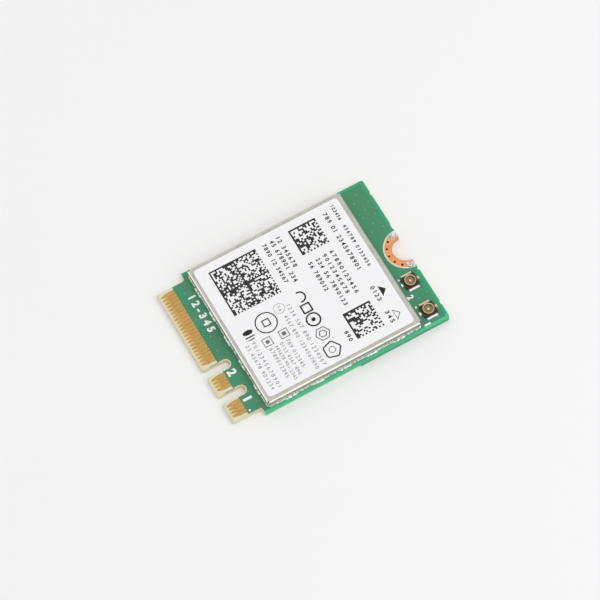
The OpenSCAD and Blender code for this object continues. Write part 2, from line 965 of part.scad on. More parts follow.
circuit_board();
solder_mask_top();
solder_mask_bottom();
edge_contacts_top();
edge_contacts_bottom();
mounting_pad();
mounting_pad_tinning();
shield_frame();
shield_lid();
shield_solder();
label();
at_socket(socket_1_x) socket_base();  // antenna_socket_1_base
at_socket(socket_1_x) socket_shell();  // antenna_socket_1_shell
at_socket(socket_1_x) socket_pin();  // antenna_socket_1_pin
at_socket(socket_2_x) socket_base();  // antenna_socket_2_base
at_socket(socket_2_x) socket_shell();  // antenna_socket_2_shell
at_socket(socket_2_x) socket_pin();  // antenna_socket_2_pin
wireless_chip();
translate([module_1_x, module_y, 0]) front_end_module();  // front_end_module_1
translate([module_2_x, module_y, 0]) front_end_module();  // front_end_module_2
translate([module_1_x, diplexer_y, 0]) diplexer();  // diplexer_1
translate([module_2_x, diplexer_y, 0]) diplexer();  // diplexer_2
translate([module_1_x, filter_y, 0]) band_filter();  // band_filter_1
translate([module_2_x, filter_y, 0]) band_filter();  // band_filter_2
crystal();
memory_chip();
translate([coil_1_x, coil_y, 0]) power_inductor();  // power_inductor_1
translate([coil_2_x, coil_y, 0]) power_inductor();  // power_inductor_2
power_switch();
large_capacitors();
small_capacitors();
resistors();
chip_inductors();
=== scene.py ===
"""Looks of a plug-in laptop wireless card: finishes and print around the fixed CAD frame.

Sizes typed here are millimetres in the card's own frame: x across the card, y along it from the
contact edge to the notch, z up from the underside. Blender's own lengths are metres.
"""

import math
import random

import bpy
from mathutils import Matrix, Vector


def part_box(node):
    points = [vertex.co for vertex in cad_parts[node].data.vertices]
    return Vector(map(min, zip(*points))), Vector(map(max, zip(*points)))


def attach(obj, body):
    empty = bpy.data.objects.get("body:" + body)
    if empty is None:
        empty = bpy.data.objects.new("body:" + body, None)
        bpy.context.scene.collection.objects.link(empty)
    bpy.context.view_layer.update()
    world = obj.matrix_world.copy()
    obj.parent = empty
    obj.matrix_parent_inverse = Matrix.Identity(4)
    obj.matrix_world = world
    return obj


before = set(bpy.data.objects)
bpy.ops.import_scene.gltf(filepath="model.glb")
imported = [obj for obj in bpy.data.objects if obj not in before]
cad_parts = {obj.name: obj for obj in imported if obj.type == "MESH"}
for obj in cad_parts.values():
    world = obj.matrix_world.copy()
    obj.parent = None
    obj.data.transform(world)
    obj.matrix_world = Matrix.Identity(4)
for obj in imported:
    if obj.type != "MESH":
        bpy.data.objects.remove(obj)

bl_info = {
    "name": "Laptop Wireless Card",
    "version": (1, 0, 0),
    "blender": (4, 5, 0),
    "location": "3D View > Sidebar > Wireless Card",
    "description": "Finishes, print and studio of a plug-in laptop wireless card",
    "category": "Object",
}

MM = 0.001
BODY = "root"
EIGHTH_TURN = math.radians(45)
QUARTER_TURN = math.radians(90)

# Width of the picture in pixels and of the camera's sensor in millimetres
IMAGE_SIZE = 600
SENSOR = 36.0

# Where the camera stands and what it looks at, as fitted to the photograph
CAMERA_PLACE = (169.29, -75.975, 394.216)
CAMERA_TARGET = (-0.361, 0.084, 0.8)

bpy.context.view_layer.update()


def node_box(name):
    """Lowest and highest corner of a CAD node in millimetres."""
    low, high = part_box(name)
    return [value / MM for value in low], [value / MM for value in high]


BOARD_LOW, BOARD_HIGH = node_box("circuit_board")
FRAME_LOW, FRAME_HIGH = node_box("shield_frame")
LID_LOW, LID_HIGH = node_box("shield_lid")
CONTACT_EDGE = BOARD_LOW[1]
NOTCH_EDGE = BOARD_HIGH[1]
MASK_TOP = node_box("solder_mask_top")[1][2]
LABEL_TOP = node_box("label")[1][2]
TIN_START = node_box("mounting_pad_tinning")[0][1]
RING_R = node_box("mounting_pad")[1][0]

# Width of the copper ring round the notch
RING_WIDTH = 1.0
NOTCH_R = RING_R - RING_WIDTH

# From the contact edge to the small step in one long side of the board
STEP_Y = 17.35

# From one edge contact to the next
CONTACT_PITCH = 0.5

# Colour of a thick, shining drop of solder
BRIGHT_SOLDER = (1.0, 1.0, 0.98)


def card(x, y):
    """The point in the card's frame that lies x, y from the board's middle and its contact edge."""
    return x, CONTACT_EDGE + y


def seen(red, green, blue):
    """A colour as the eye reads it, 0 to 255, turned to linear values by the standard curve."""
    def linear(value):
        part = value / 255
        if part <= 0.04045:
            return part / 12.92
        return ((part + 0.055) / 1.055) ** 2.4
    return (linear(red), linear(green), linear(blue))


def colour_property(name, description, colour):
    return bpy.props.FloatVectorProperty(
        name=name, description=description, default=colour, size=3, min=0.0, max=1.0, subtype="COLOR")


def length_property(name, description, size):
    """A length typed in millimetres, which Blender keeps in metres."""
    return bpy.props.FloatProperty(
        name=name, description=description, default=size * MM, min=0.0, precision=6,
        subtype="DISTANCE", unit="LENGTH")


def power_property(name, description, watts):
    return bpy.props.FloatProperty(
        name=name, description=description, default=watts, min=0.0, unit="POWER")


class BoardFinish(bpy.types.PropertyGroup):
    """Colours of the laminate, the lacquer and the bare metal, and widths in the lacquer."""

    laminate: colour_property(
        "Laminate", "Cut edge and bare face of the glass laminate", seen(232, 223, 190))
    rim: colour_property(
        "Lacquer rim", "Green lacquer where no copper lies under it", seen(22, 164, 114))
    # Painted light: a brighter green for the lacquer strip beside the can, where the can's wall shades
    # it
    painted_light_rim: colour_property(
        "Bright rim", "Green lacquer beside the can, where light comes through", seen(66, 200, 150))
    field: colour_property(
        "Lacquer field", "Green lacquer over a copper plane", seen(56, 138, 100))
    warm_field: colour_property(
        "Warm field", "Thinner lacquer, where the copper shows through", seen(84, 132, 86))
    trace: colour_property(
        "Lacquer trace", "Green lacquer over a copper track", seen(30, 104, 70))
    gold: colour_property(
        "Contact gold", "Gold of the edge contacts", seen(208, 160, 80))
    copper: colour_property(
        "Ring copper", "Copper of the half ring at the notch", seen(236, 166, 116))
    tin: colour_property(
        "Tin", "Bright tin at the ends of the half ring", seen(238, 238, 234))
    rim_width: length_property(
        "Rim width", "Width of the strip without copper along the board's sides", 0.42)
    hole_width: length_property(
        "Hole width", "Width of the lacquered holes", 0.24)


class ShieldFinish(bpy.types.PropertyGroup):
    """Colours of the sheet metal, the label and the sockets."""

    sheet: colour_property("Sheet", "Nickel silver sheet of the can", seen(198, 195, 187))
    paper: colour_property("Label paper", "White coated paper of the label", seen(250, 250, 252))
    socket_gold: colour_property("Socket gold", "Gold of the antenna sockets", seen(206, 164, 94))
    pin_gold: colour_property("Pin gold", "Gold of the centre contacts", seen(246, 204, 130))
    moulding: colour_property("Moulding", "Black moulded plastic", seen(46, 43, 42))


class PrintSettings(bpy.types.PropertyGroup):
    """Colours, thicknesses and stroke of the print."""

    ink: colour_property("Dark ink", "Print on the label", seen(18, 17, 19))
    faint_ink: colour_property(
        "Faint ink", "Finer print on the label, which reads lighter", seen(112, 112, 116))
    board_ink: colour_property("Board ink", "White print on the lacquer", seen(250, 251, 250))
    ink_thickness: length_property("Ink thickness", "Thickness of the print on the label", 0.003)
    board_ink_thickness: length_property(
        "Board ink thickness", "Thickness of the print on the board", 0.012)
    stroke: length_property("Stroke", "Full stroke of the plain shapes on the label", 0.21)


class StudioSettings(bpy.types.PropertyGroup):
    """Floor, lights and camera."""

    floor: colour_property("Floor", "Pale floor", seen(250, 250, 250))
    floor_size: length_property("Floor size", "Width of the floor", 3000)
    focal_length: bpy.props.FloatProperty(
        name="Focal length", description="Focal length in pixels of the square picture",
        default=3505.77, min=1.0, subtype="PIXEL")
    camera_roll: bpy.props.FloatProperty(
        name="Roll", description="Turn of the picture about the line of sight",
        default=math.radians(-5.56), subtype="ANGLE")
    sky: bpy.props.FloatProperty(
        name="Sky", description="Strength of the even light", default=0.72, min=0.0)
    key: power_property("Key", "Power of the main lamp", 0.67)
    fill: power_property("Fill", "Power of the side lamp", 0.12)


class Value:
    """A socket in a material. Python's operators on it add Math nodes."""

    def __init__(self, graph, socket):
        self.graph = graph
        self.socket = socket

    def math(self, operation, *numbers, clamp=False):
        settings = {"operation": operation, "use_clamp": clamp}
        return self.graph.node("ShaderNodeMath", settings, dict(enumerate(numbers)))

    def __add__(self, other):
        return self.math("ADD", self, other)

    def __radd__(self, other):
        return self.math("ADD", other, self)

    def __sub__(self, other):
        return self.math("SUBTRACT", self, other)

    def __rsub__(self, other):
        return self.math("SUBTRACT", other, self)

    def __mul__(self, other):
        return self.math("MULTIPLY", self, other)

    def __rmul__(self, other):
        return self.math("MULTIPLY", other, self)

    def __abs__(self):
        return self.math("ABSOLUTE", self)

    def sine(self):
        return self.math("SINE", self)

    def root(self):
        return self.math("SQRT", self)

    def least(self, other):
        return self.math("MINIMUM", self, other)

    def most(self, other):
        return self.math("MAXIMUM", self, other)

    def wrapped(self, period):
        """Distance from the nearest multiple of a period."""
        return self.math("PINGPONG", self, period / 2)

    def over(self, start, amount):
        """How far it rises over a start, times an amount, and 0 below the start."""
        return (self - start).most(0.0) * amount

    def above(self, edge, soft):
        """0 below an edge and 1 above it, with a soft step."""
        return self.math("MULTIPLY_ADD", self, 1 / soft, 0.5 - edge / soft, clamp=True)

    def below(self, edge, soft):
        """1 below an edge and 0 above it, with a soft step."""
        return self.math("MULTIPLY_ADD", self, -1 / soft, 0.5 + edge / soft, clamp=True)


def highest(values):
    """The highest of several values, point by point."""
    top = values[0]
    for value in values[1:]:
        top = top.most(value)
    return top


class Graph:
    """An emptied node tree and the one way that nodes get into it."""

    def __init__(self, owner):
        owner.use_nodes = True
        self.tree = owner.node_tree
        self.tree.nodes.clear()

    def node(self, kind, settings=None, inputs=None, output=0):
        """Adds one node: its settings first, then the values or links of its sockets."""
        made = self.tree.nodes.new(kind)
        for name, value in (settings or {}).items():
            setattr(made, name, value)
        for name, value in (inputs or {}).items():
            if isinstance(value, Value):
                self.tree.links.new(value.socket, made.inputs[name])
            else:
                made.inputs[name].default_value = value
        return Value(self, made.outputs[output] if len(made.outputs) else None)


class Finish(Graph):
    """The node graph of one material, with the place on the piece in millimetres."""

    # Numbers of a Mix node's sockets where it blends colours
    MIX_FACTOR = 0
    MIX_FIRST = 6
    MIX_SECOND = 7
    MIX_RESULT = 2

    def __init__(self, name):
        self.material = bpy.data.materials.new(name)
        super().__init__(self.material)
        self.place = self.node("ShaderNodeTexCoord", output="Object")
        self.x = self.axis("X")
        self.y = self.axis("Y")
        self.z = self.axis("Z")

    def axis(self, name):
        return self.node("ShaderNodeSeparateXYZ", {}, {"Vector": self.place}, name) * (1 / MM)

    def distance(self, x, y):
        """Distance from an upright line through x, y in millimetres."""
        across = self.x - x
        along = self.y - y
        return (across * across + along * along).root()

    def noise(self, size, detail=2.0, stretch=(1, 1, 1)):
        """Cloudy noise from 0 to 1, with features of the given size in millimetres."""
        vector = self.node("ShaderNodeMapping", {}, {"Vector": self.place, "Scale": stretch})
        inputs = {"Vector": vector, "Scale": 1 / (size * MM), "Detail": detail}
        return self.node("ShaderNodeTexNoise", {}, inputs)

    def mix(self, factor, first, second):
        """Blends two colours."""
        inputs = {self.MIX_FACTOR: factor}
        for socket, colour in ((self.MIX_FIRST, first), (self.MIX_SECOND, second)):
            inputs[socket] = colour if isinstance(colour, Value) else (*colour, 1)
        return self.node("ShaderNodeMix", {"data_type": "RGBA"}, inputs, self.MIX_RESULT)

    def shade(self, colour, amount):
        """Darkens a colour where the amount rises from 0 to 1."""
        return self.mix(amount, colour, (0, 0, 0))

    def bump(self, height, reach):
        """A normal from a height that runs from 0 to 1, for a relief of reach millimetres."""
        return self.node("ShaderNodeBump", {}, {"Height": height, "Distance": reach * MM})

    def surface(self, colour, roughness, metallic=0.0, normal=None, **fixed):
        """Ends the graph in a Principled shader. The fixed values stay the same all over."""
        inputs = {"Roughness": roughness, "Metallic": metallic}
        inputs["Base Color"] = colour if isinstance(colour, Value) else (*colour, 1)
        if normal:
            inputs["Normal"] = normal
        for name, value in fixed.items():
            inputs[name.replace("_", " ").title().replace("Ior", "IOR")] = value
        shader = self.node("ShaderNodeBsdfPrincipled", {}, inputs)
        self.node("ShaderNodeOutputMaterial", {}, {"Surface": shader})
        return self.material


def laminate_material(colours):
    """Woven glass in pale resin: a weave on the faces, layers on the edges, one long side green."""
    weave_pitch = 0.12
    layer_pitch = 0.11
    weave_tone = 0.04
    layer_tone = 0.05
    cloud_tone = 0.12
    pale_start = RING_R - 0.05
    pale_end = RING_R + 0.3
    side_depth = 0.16
    side_cover = 0.9
    green_bottom = 0.24
    rows_start = CONTACT_EDGE + 0.9
    rows_end = CONTACT_EDGE + 2.3
    half_gap = 0.055
    gap_cover = 0.85
    face_depth = 0.06
    cut_resin = seen(246, 242, 230)
    side_green = seen(52, 142, 104)
    step_green = seen(70, 186, 140)
    gap_brown = seen(132, 116, 94)
    finish = Finish("glass_laminate")
    across = (finish.x * (math.tau / weave_pitch)).sine()
    along = (finish.y * (math.tau / weave_pitch)).sine()
    weave = across * along
    layers = (finish.z * (math.tau / layer_pitch)).sine()
    cloud = finish.noise(size=0.5)
    tone = (weave * weave_tone + layers * layer_tone + cloud * cloud_tone).most(0.0)
    colour = finish.shade(colours.laminate, tone)

    from_notch = finish.distance(0.0, NOTCH_EDGE)
    beside_ring = from_notch.below(pale_end, soft=0.04) * from_notch.above(pale_start, soft=0.04)
    colour = finish.mix(beside_ring, colour, cut_resin)

    outer_side = finish.x.above(BOARD_HIGH[0] - side_depth, soft=0.02)
    past_step = finish.y.above(CONTACT_EDGE + STEP_Y, soft=0.05)
    colour = finish.mix(outer_side * past_step * side_cover, colour, side_green)
    upper = finish.z.above(green_bottom, soft=0.1)
    colour = finish.mix(outer_side * (1 - past_step) * upper, colour, step_green)

    among_contacts = finish.y.above(rows_start, soft=0.5) * finish.y.below(rows_end, soft=0.1)
    upper_face = finish.z.above(BOARD_HIGH[2] - face_depth, soft=0.01)
    between = finish.x.wrapped(CONTACT_PITCH).below(half_gap, soft=0.03)
    gaps = between * among_contacts * upper_face
    colour = finish.mix(gaps * gap_cover, colour, gap_brown)
    relief = finish.bump(weave * 0.5 + finish.noise(size=0.06), reach=0.006)
    return finish.surface(colour, roughness=0.6 + cloud * 0.1, normal=relief)


# Lacquered holes that show in the lacquer, from the middle of the board and its contact edge
HOLE_PLACES = [
    (-9.55, 28.25), (-8.6, 27.45), (-8.0, 29.1), (-7.2, 28.2), (-6.3, 27.45), (-6.05, 29.1),
    (-5.0, 28.2), (-4.0, 27.45), (-4.05, 29.1), (3.1, 27.4), (6.6, 29.2), (6.9, 28.0), (10.2, 28.8),
    (-9.6, 3.9), (-9.0, 4.1), (-8.4, 3.1), (-3.2, 3.9), (-1.6, 3.1), (-0.7, 4.0), (0.5, 2.9),
    (1.4, 3.9), (5.0, 3.9), (7.2, 3.6), (8.9, 3.9),
]

# Gaps between the copper planes of the plain side, in the card's own frame. Each runs right across,
# and steps aside once at 45 degrees: whether it runs along x or along y, its place across that, where
# its step starts, and how far the step goes.
PLANE_GAPS = [
    (True, -8.3, -3.0, 1.8), (True, 1.6, 1.0, -2.4), (True, 8.4, -6.5, 1.2),
    (False, -6.4, 3.0, 1.6), (False, 4.6, -6.0, -2.0),
]


def parts_side_holes(finish, width):
    """1 in the middle of each lacquered hole of the parts side, falling to 0 at its rim."""
    from_holes = [finish.distance(*card(x, y)) for x, y in HOLE_PLACES]
    return highest([distance.below(width / 2, soft=width / 3) for distance in from_holes])


def plain_side_marks(finish, width):
    """Marks of the side without parts: holes strewn over it, and the gaps between its copper planes."""
    hole_pitch = 1.7
    hole_disorder = 0.8
    gap_width = 0.16
    inputs = {"Vector": finish.place, "Scale": 1 / (hole_pitch * MM), "Randomness": hole_disorder}
    spread = finish.node("ShaderNodeTexVoronoi", {"voronoi_dimensions": "2D"}, inputs)
    holes = spread.below(width / 2 / hole_pitch, soft=width / 3 / hole_pitch)
    gaps = []
    for along_x, place, bend, step in PLANE_GAPS:
        across, along = (finish.y, finish.x) if along_x else (finish.x, finish.y)
        shift = (along - bend).most(0.0).least(abs(step)) * math.copysign(1, step)
        gaps.append(abs(across - place - shift).below(gap_width / 2, soft=gap_width / 3))
    return holes, highest(gaps)


def track_marks(finish):
    """Tracks that fan out over the board from behind the contacts."""
    track_pitch = 0.42
    half_track = 0.07
    fan_start = CONTACT_EDGE + 2.2
    fan_end = CONTACT_EDGE + 4.6
    fan_middle = -0.6
    fan_reach = 2.6
    most_lean = 0.9
    lean_turn = 0.45
    lean = (finish.x * lean_turn).sine() * most_lean
    fanned = finish.x + (finish.y - fan_start) * lean
    zone = abs(finish.x - fan_middle).below(fan_reach, soft=1.2) * finish.y.below(fan_end, soft=0.5)
    return fanned.wrapped(track_pitch).below(half_track, soft=0.07) * zone


def lacquer_material(colours, name, parts_side):
    """Green lacquer: brighter where no copper lies under it, with soft relief over tracks and holes."""
    filled_hole = seen(150, 176, 160)
    bright_start = LID_HIGH[0] - 0.1
    rim_wander = 0.06
    track_cover = 0.75
    hole_cover = 0.4
    gap_cover = 0.8
    finish = Finish(name)
    from_side = BOARD_HIGH[0] - abs(finish.x)
    from_end = NOTCH_EDGE - finish.y
    inside = from_side.least(from_end) + finish.noise(size=0.8) * rim_wander
    cloud = finish.noise(size=1.6, detail=3.0)
    fine = finish.noise(size=0.09)
    over_plane = inside.above(colours.rim_width / MM, soft=0.16)
    over_plane = over_plane * (0.8 + cloud * 0.4).least(1.0)
    hole_width = colours.hole_width / MM
    if parts_side:
        holes = parts_side_holes(finish, hole_width)
    else:
        holes, gaps = plain_side_marks(finish, hole_width)
        over_plane = over_plane * (1 - gaps * gap_cover)
    tracks = track_marks(finish)

    # Painted light on the +x strip beside the can, where the can's wall shades the lacquer
    beside_can = finish.x.above(bright_start, soft=0.1)
    rim = finish.mix(beside_can, colours.rim, colours.painted_light_rim)
    field = finish.mix(cloud.over(0.45, amount=1.4), colours.field, colours.warm_field)
    colour = finish.mix(over_plane, rim, field)
    colour = finish.mix(tracks * track_cover, colour, colours.trace)
    colour = finish.mix(holes * hole_cover, colour, filled_hole)
    colour = finish.shade(colour, fine.over(0.45, amount=0.35))
    height = over_plane * 0.5 + tracks * 0.5 + holes * 0.4 + fine * 0.08 + cloud * 0.4
    relief = finish.bump(height, reach=0.02)
    roughness = 0.36 + fine * 0.12
    return finish.surface(colour, roughness, normal=relief, coat_weight=0.1, coat_roughness=0.2)


def ring_material(colours):
    """Protected copper, dull and spotted, that turns to dabbed tin at the ends of the half ring."""
    pale_rim = seen(236, 224, 204)
    dark_tin = seen(150, 150, 144)
    rim_width = 0.07
    bare_inside = 0.25
    finish = Finish("ring_copper_and_tin")
    spots = finish.noise(size=0.16, detail=3.0)
    cloud = finish.noise(size=0.5)
    spot_swing = spots - 0.5
    cloud_swing = cloud - 0.5
    from_notch = finish.distance(0.0, NOTCH_EDGE)
    copper = finish.shade(colours.copper, spots.over(0.42, amount=1.1) + cloud.over(0.45, amount=0.5))
    copper = finish.mix(from_notch.above(RING_R - rim_width, soft=0.03), copper, pale_rim)
    dabs = (spot_swing + cloud_swing * 0.6).above(0.0, soft=0.16)
    tin = finish.mix(dabs, colours.tin, dark_tin)
    into_tin = finish.y - TIN_START + cloud_swing * 1.1 + spot_swing * 0.5
    off_notch = (from_notch + spot_swing * 0.5).above(NOTCH_R + bare_inside, soft=0.08)
    tinned = into_tin.above(0.0, soft=0.1) * off_notch
    colour = finish.mix(tinned, copper, tin)
    relief = finish.bump(spots * 0.4 + cloud * tinned, reach=0.02)
    roughness = 0.42 - tinned * 0.12 + spots * 0.1
    return finish.surface(colour, roughness, metallic=0.9, normal=relief)


def plated_material(name, colour, roughness, streak):
    """Plated metal with fine wiping marks along y and a little cloudiness."""
    finish = Finish(name)
    lines = finish.noise(size=0.05, detail=3.0, stretch=(1, 0.06, 1))
    cloud = finish.noise(size=0.6)
    tint = finish.shade(colour, lines.over(0.42, amount=streak))
    tint = finish.shade(tint, cloud.over(0.4, amount=0.3))
    relief = finish.bump(lines, reach=0.004)
    return finish.surface(tint, roughness + lines * 0.15, metallic=1.0, normal=relief)


def solder_material():
    """The can's solder: a dull thin bead whose dark patches carry a painted reflection of the green
    lacquer around it, with brighter joints.
    """
    bright_light = seen(232, 231, 226)
    bright_dark = seen(146, 148, 140)
    dull_light = seen(222, 222, 214)
    dull_dark_green_reflection = seen(140, 148, 136)
    joint_size = 0.14
    dent_share = 0.7
    bright_patch = 0.52
    dull_patch = 0.5
    finish = Finish("can_solder")
    middle_y = (FRAME_LOW[1] + FRAME_HIGH[1]) / 2
    off_x = abs(finish.x) - FRAME_HIGH[0]
    off_y = abs(finish.y - middle_y) - (FRAME_HIGH[1] - middle_y)
    fullness = off_x.most(off_y).most(0.0) + finish.z - MASK_TOP
    joints = fullness.above(joint_size, soft=0.05)
    dents = finish.noise(size=0.3, detail=3.0)
    grain = finish.noise(size=0.07)
    patchy = dents * dent_share + grain * (1 - dent_share)
    bright = finish.mix(patchy.above(bright_patch, soft=0.12), bright_light, bright_dark)
    # The dull bead's dark patches are tinted green: a painted reflection of the lacquer around it
    dull = finish.mix(patchy.above(dull_patch, soft=0.1), dull_light, dull_dark_green_reflection)
    colour = finish.mix((joints + (dents - 0.5) * 1.2).above(0.5, soft=0.2), dull, bright)
    relief = finish.bump(dents + grain * 0.2, reach=0.03)
    return finish.surface(colour, roughness=0.34 + grain * 0.2, metallic=0.8, normal=relief)


def sheet_material(colours):
    """Nickel silver: a faint rolled grain along x, painted highlights on the folds, painted shade on the
    lid skirt and painted light on the frame wall below it.
    """
    painted_fold_highlight = seen(246, 243, 236)
    skirt_painted_shade = seen(140, 133, 122)
    wall_painted_light = seen(232, 229, 221)
    fold = 0.17
    far_fold = 0.2
    side_shine = 0.75
    far_side_shine = 0.35
    fold_cover = 0.8
    skirt_cover = 0.7
    fold_bottom = LID_HIGH[2] - 0.16
    skirt_bottom = LID_LOW[2] - 0.02
    finish = Finish("nickel_silver_sheet")
    grain = finish.noise(size=0.05, detail=3.0, stretch=(0.05, 1, 1))
    cloud = finish.noise(size=2.5, detail=3.0)
    blotch = finish.noise(size=0.5, detail=3.0)
    side_fold = finish.x.above(LID_HIGH[0] - fold, soft=0.06)
    end_fold = finish.y.below(LID_LOW[1] + fold, soft=0.06)
    far_side_fold = finish.x.below(LID_LOW[0] + far_fold, soft=0.1)
    edges = (side_fold * side_shine).most(end_fold).most(far_side_fold * far_side_shine)
    folds = edges * finish.z.above(fold_bottom, soft=0.06)
    skirt = finish.z.below(fold_bottom, soft=0.06) * finish.z.above(skirt_bottom, soft=0.04)
    wall = finish.z.below(skirt_bottom, soft=0.04)
    tone = grain * 0.12 + cloud.over(0.4, amount=0.5) + blotch.over(0.5, amount=0.5)
    tint = finish.shade(colours.sheet, tone)
    # Painted highlight along the folds on the +x, -y and -x edges
    tint = finish.mix(folds * fold_cover, tint, painted_fold_highlight)
    # Painted shade on the lid skirt below the fold
    tint = finish.mix(skirt * skirt_cover, tint, skirt_painted_shade)
    # Painted light on the frame wall below the skirt, in blotches
    tint = finish.mix(wall * (0.5 + blotch * 0.5), tint, wall_painted_light)
    relief = finish.bump(grain + cloud * 0.5, reach=0.004)
    roughness = 0.38 + grain * 0.14 - folds * 0.1
    return finish.surface(tint, roughness, metallic=1 - wall * 0.45, normal=relief)


def paper_material(colours):
    """Coated label paper with a faint fibre and soft unevenness."""
    finish = Finish("label_paper")
    fibre = finish.noise(size=0.12, detail=3.0)
    cloud = finish.noise(size=3.0)
    tint = finish.shade(colours.paper, (fibre + cloud) * 0.03)
    relief = finish.bump(fibre + cloud, reach=0.006)
    return finish.surface(tint, roughness=0.52 + fibre * 0.1, normal=relief)


def ink_material(name, colour):
    """Matt ink with a slightly broken tone."""
    worn_grey = (0.6, 0.6, 0.6)
    worn_cover = 0.05
    finish = Finish(name)
    grain = finish.noise(size=0.07)
    tint = finish.mix(grain * worn_cover, colour, worn_grey)
    relief = finish.bump(grain, reach=0.002)
    return finish.surface(tint, roughness=0.6 + grain * 0.1, normal=relief, specular_ior_level=0.2)


def moulding_material(name, colour, grain_size=0.06):
    """Moulded or fired body with a fine grain."""
    grain_cover = 0.3
    cloud_cover = 0.1
    lighter = tuple(min(1.0, 1.6 * part + 0.01) for part in colour)
    finish = Finish(name)
    grain = finish.noise(grain_size)
    cloud = finish.noise(size=0.8)
    tint = finish.mix(grain * grain_cover + cloud * cloud_cover, colour, lighter)
    relief = finish.bump(grain, reach=0.006)
    return finish.surface(tint, roughness=0.5 + grain * 0.2, normal=relief)


def socket_shell_material(colours, centre_x, centre_y):
    """Gold ring with painted light down inside it, on pale gold tabs with bright solder on their +x
    side.
    """
    ring_r = 0.8
    lip_width = 0.14
    solder_start = 0.3
    painted_light_inside = seen(236, 224, 196)
    tab_gold = seen(216, 198, 164)
    finish = Finish("socket_gold_" + str(round(centre_x)))
    from_centre = finish.distance(centre_x, centre_y)
    off_ring = from_centre.above(ring_r, soft=0.08)
    soldered_side = (finish.x - centre_x).above(solder_start, soft=0.1)
    lines = finish.noise(size=0.06)
    inside = from_centre.below(ring_r - lip_width, soft=0.03)
    # Painted light on the inner wall of the gold ring
    tint = finish.mix(inside, colours.socket_gold, painted_light_inside)
    tint = finish.mix(off_ring, tint, tab_gold)
    tint = finish.mix(off_ring * soldered_side, tint, BRIGHT_SOLDER)
    tint = finish.shade(tint, lines * 0.15)
    relief = finish.bump(lines, reach=0.004)
    return finish.surface(tint, roughness=0.28 + lines * 0.15, metallic=1.0, normal=relief)


def socket_base_material(colours, centre_x, centre_y):
    """Black moulding, smoother down inside the gold ring, where painted light turns it grey."""
    inner_r = 0.66
    inner_painted_light = seen(150, 142, 130)
    finish = Finish("socket_moulding_" + str(round(centre_x)))
    inside = finish.distance(centre_x, centre_y).below(inner_r, soft=0.03)
    grain = finish.noise(size=0.06)
    # Painted light turns the moulding grey down inside the ring
    tint = finish.mix(inside, colours.moulding, inner_painted_light)
    tint = finish.shade(tint, grain * 0.3)
    roughness = 0.55 - inside * 0.2 + grain * 0.15
    return finish.surface(tint, roughness, normal=finish.bump(grain, reach=0.006))


def pin_material(colours, centre_y):
    """Bright gold centre contact on a tail covered with solder."""
    tail_start = 0.8
    solder_start = 1.1
    tail_grey = seen(214, 210, 198)
    finish = Finish("pin_gold")
    lines = finish.noise(size=0.06)
    out = centre_y - finish.y
    gold = finish.shade(colours.pin_gold, lines * 0.1)
    tail = finish.shade(tail_grey, lines * 0.5)
    tint = finish.mix(out.above(tail_start, soft=0.1), gold, tail)
    tint = finish.mix(out.above(solder_start, soft=0.08), tint, BRIGHT_SOLDER)
    relief = finish.bump(lines, reach=0.004)
    return finish.surface(tint, roughness=0.3 + lines * 0.15, metallic=0.9, normal=relief)


def dress(nodes, material):
    """Gives CAD nodes a material through their own slots."""
    for name in nodes:
        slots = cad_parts[name].material_slots
        if not slots:
            raise RuntimeError("CAD node without a material slot: " + name)
        for item in slots:
            item.material = material


def deselect_all():
    bpy.ops.object.select_all(action="DESELECT")


def take_up(piece):
    """Makes one object the only selected and the active one."""
    deselect_all()
    piece.select_set(True)
    bpy.context.view_layer.objects.active = piece


def set_in_mesh():
    """Moves the active object's place, turn and size into its mesh."""
    bpy.ops.object.transform_apply(location=True, rotation=True, scale=True)


def settle(piece, name, material):
    """Names a finished piece, gives it its material and lets it ride on the card."""
    take_up(piece)
    set_in_mesh()
    piece.name = name
    piece.data.name = name
    piece.data.materials.clear()
    piece.data.materials.append(material)
    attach(piece, BODY)


def joined(pieces):
    """Joins several objects into one."""
    take_up(pieces[0])
    for piece in pieces:
        piece.select_set(True)
    bpy.ops.object.join()
    return bpy.context.view_layer.objects.active


def edit_all():
    """Goes to edit mode with the whole mesh selected."""
    bpy.ops.object.mode_set(mode="EDIT")
    bpy.ops.mesh.select_all(action="SELECT")


def delete_faces():
    """In edit mode, deletes the selected faces and selects the rest."""
    bpy.ops.mesh.delete(type="FACE")
    bpy.ops.mesh.select_all(action="SELECT")


def pick_faces(piece, wanted):
    """Goes to edit mode with just the faces selected that the test picks."""
    bpy.ops.object.mode_set(mode="EDIT")
    bpy.ops.mesh.select_mode(type="FACE")
    bpy.ops.mesh.select_all(action="DESELECT")
    bpy.ops.object.mode_set(mode="OBJECT")
    for face in piece.data.polygons:
        face.select = wanted(face)
    bpy.ops.object.mode_set(mode="EDIT")


def thicken(height):
    """In edit mode, turns the selected flat faces into a closed slab and points its faces outwards."""
    bpy.ops.mesh.extrude_region_move(TRANSFORM_OT_translate={"value": (0, 0, height)})
    bpy.ops.mesh.select_all(action="SELECT")
    bpy.ops.mesh.normals_make_consistent(inside=False)
    bpy.ops.object.mode_set(mode="OBJECT")


def fit_to(piece, x, y, z, size):
    """Scales and moves a piece so that its box is centred on x, y, starts at z and has the size."""
    take_up(piece)
    bpy.context.view_layer.update()
    corners = [Vector(corner) for corner in piece.bound_box]
    low = Vector([min(corner[i] for corner in corners) for i in range(3)])
    high = Vector([max(corner[i] for corner in corners) for i in range(3)])
    factor = [want * MM / (high[i] - low[i]) for i, want in enumerate(size)]
    start = (x - size[0] / 2, y - size[1] / 2, z)
    piece.scale = factor
    piece.location = [start[i] * MM - low[i] * factor[i] for i in range(3)]
    set_in_mesh()


# Height of a slab before fit_to gives it its own
LOOSE_HEIGHT = 0.05


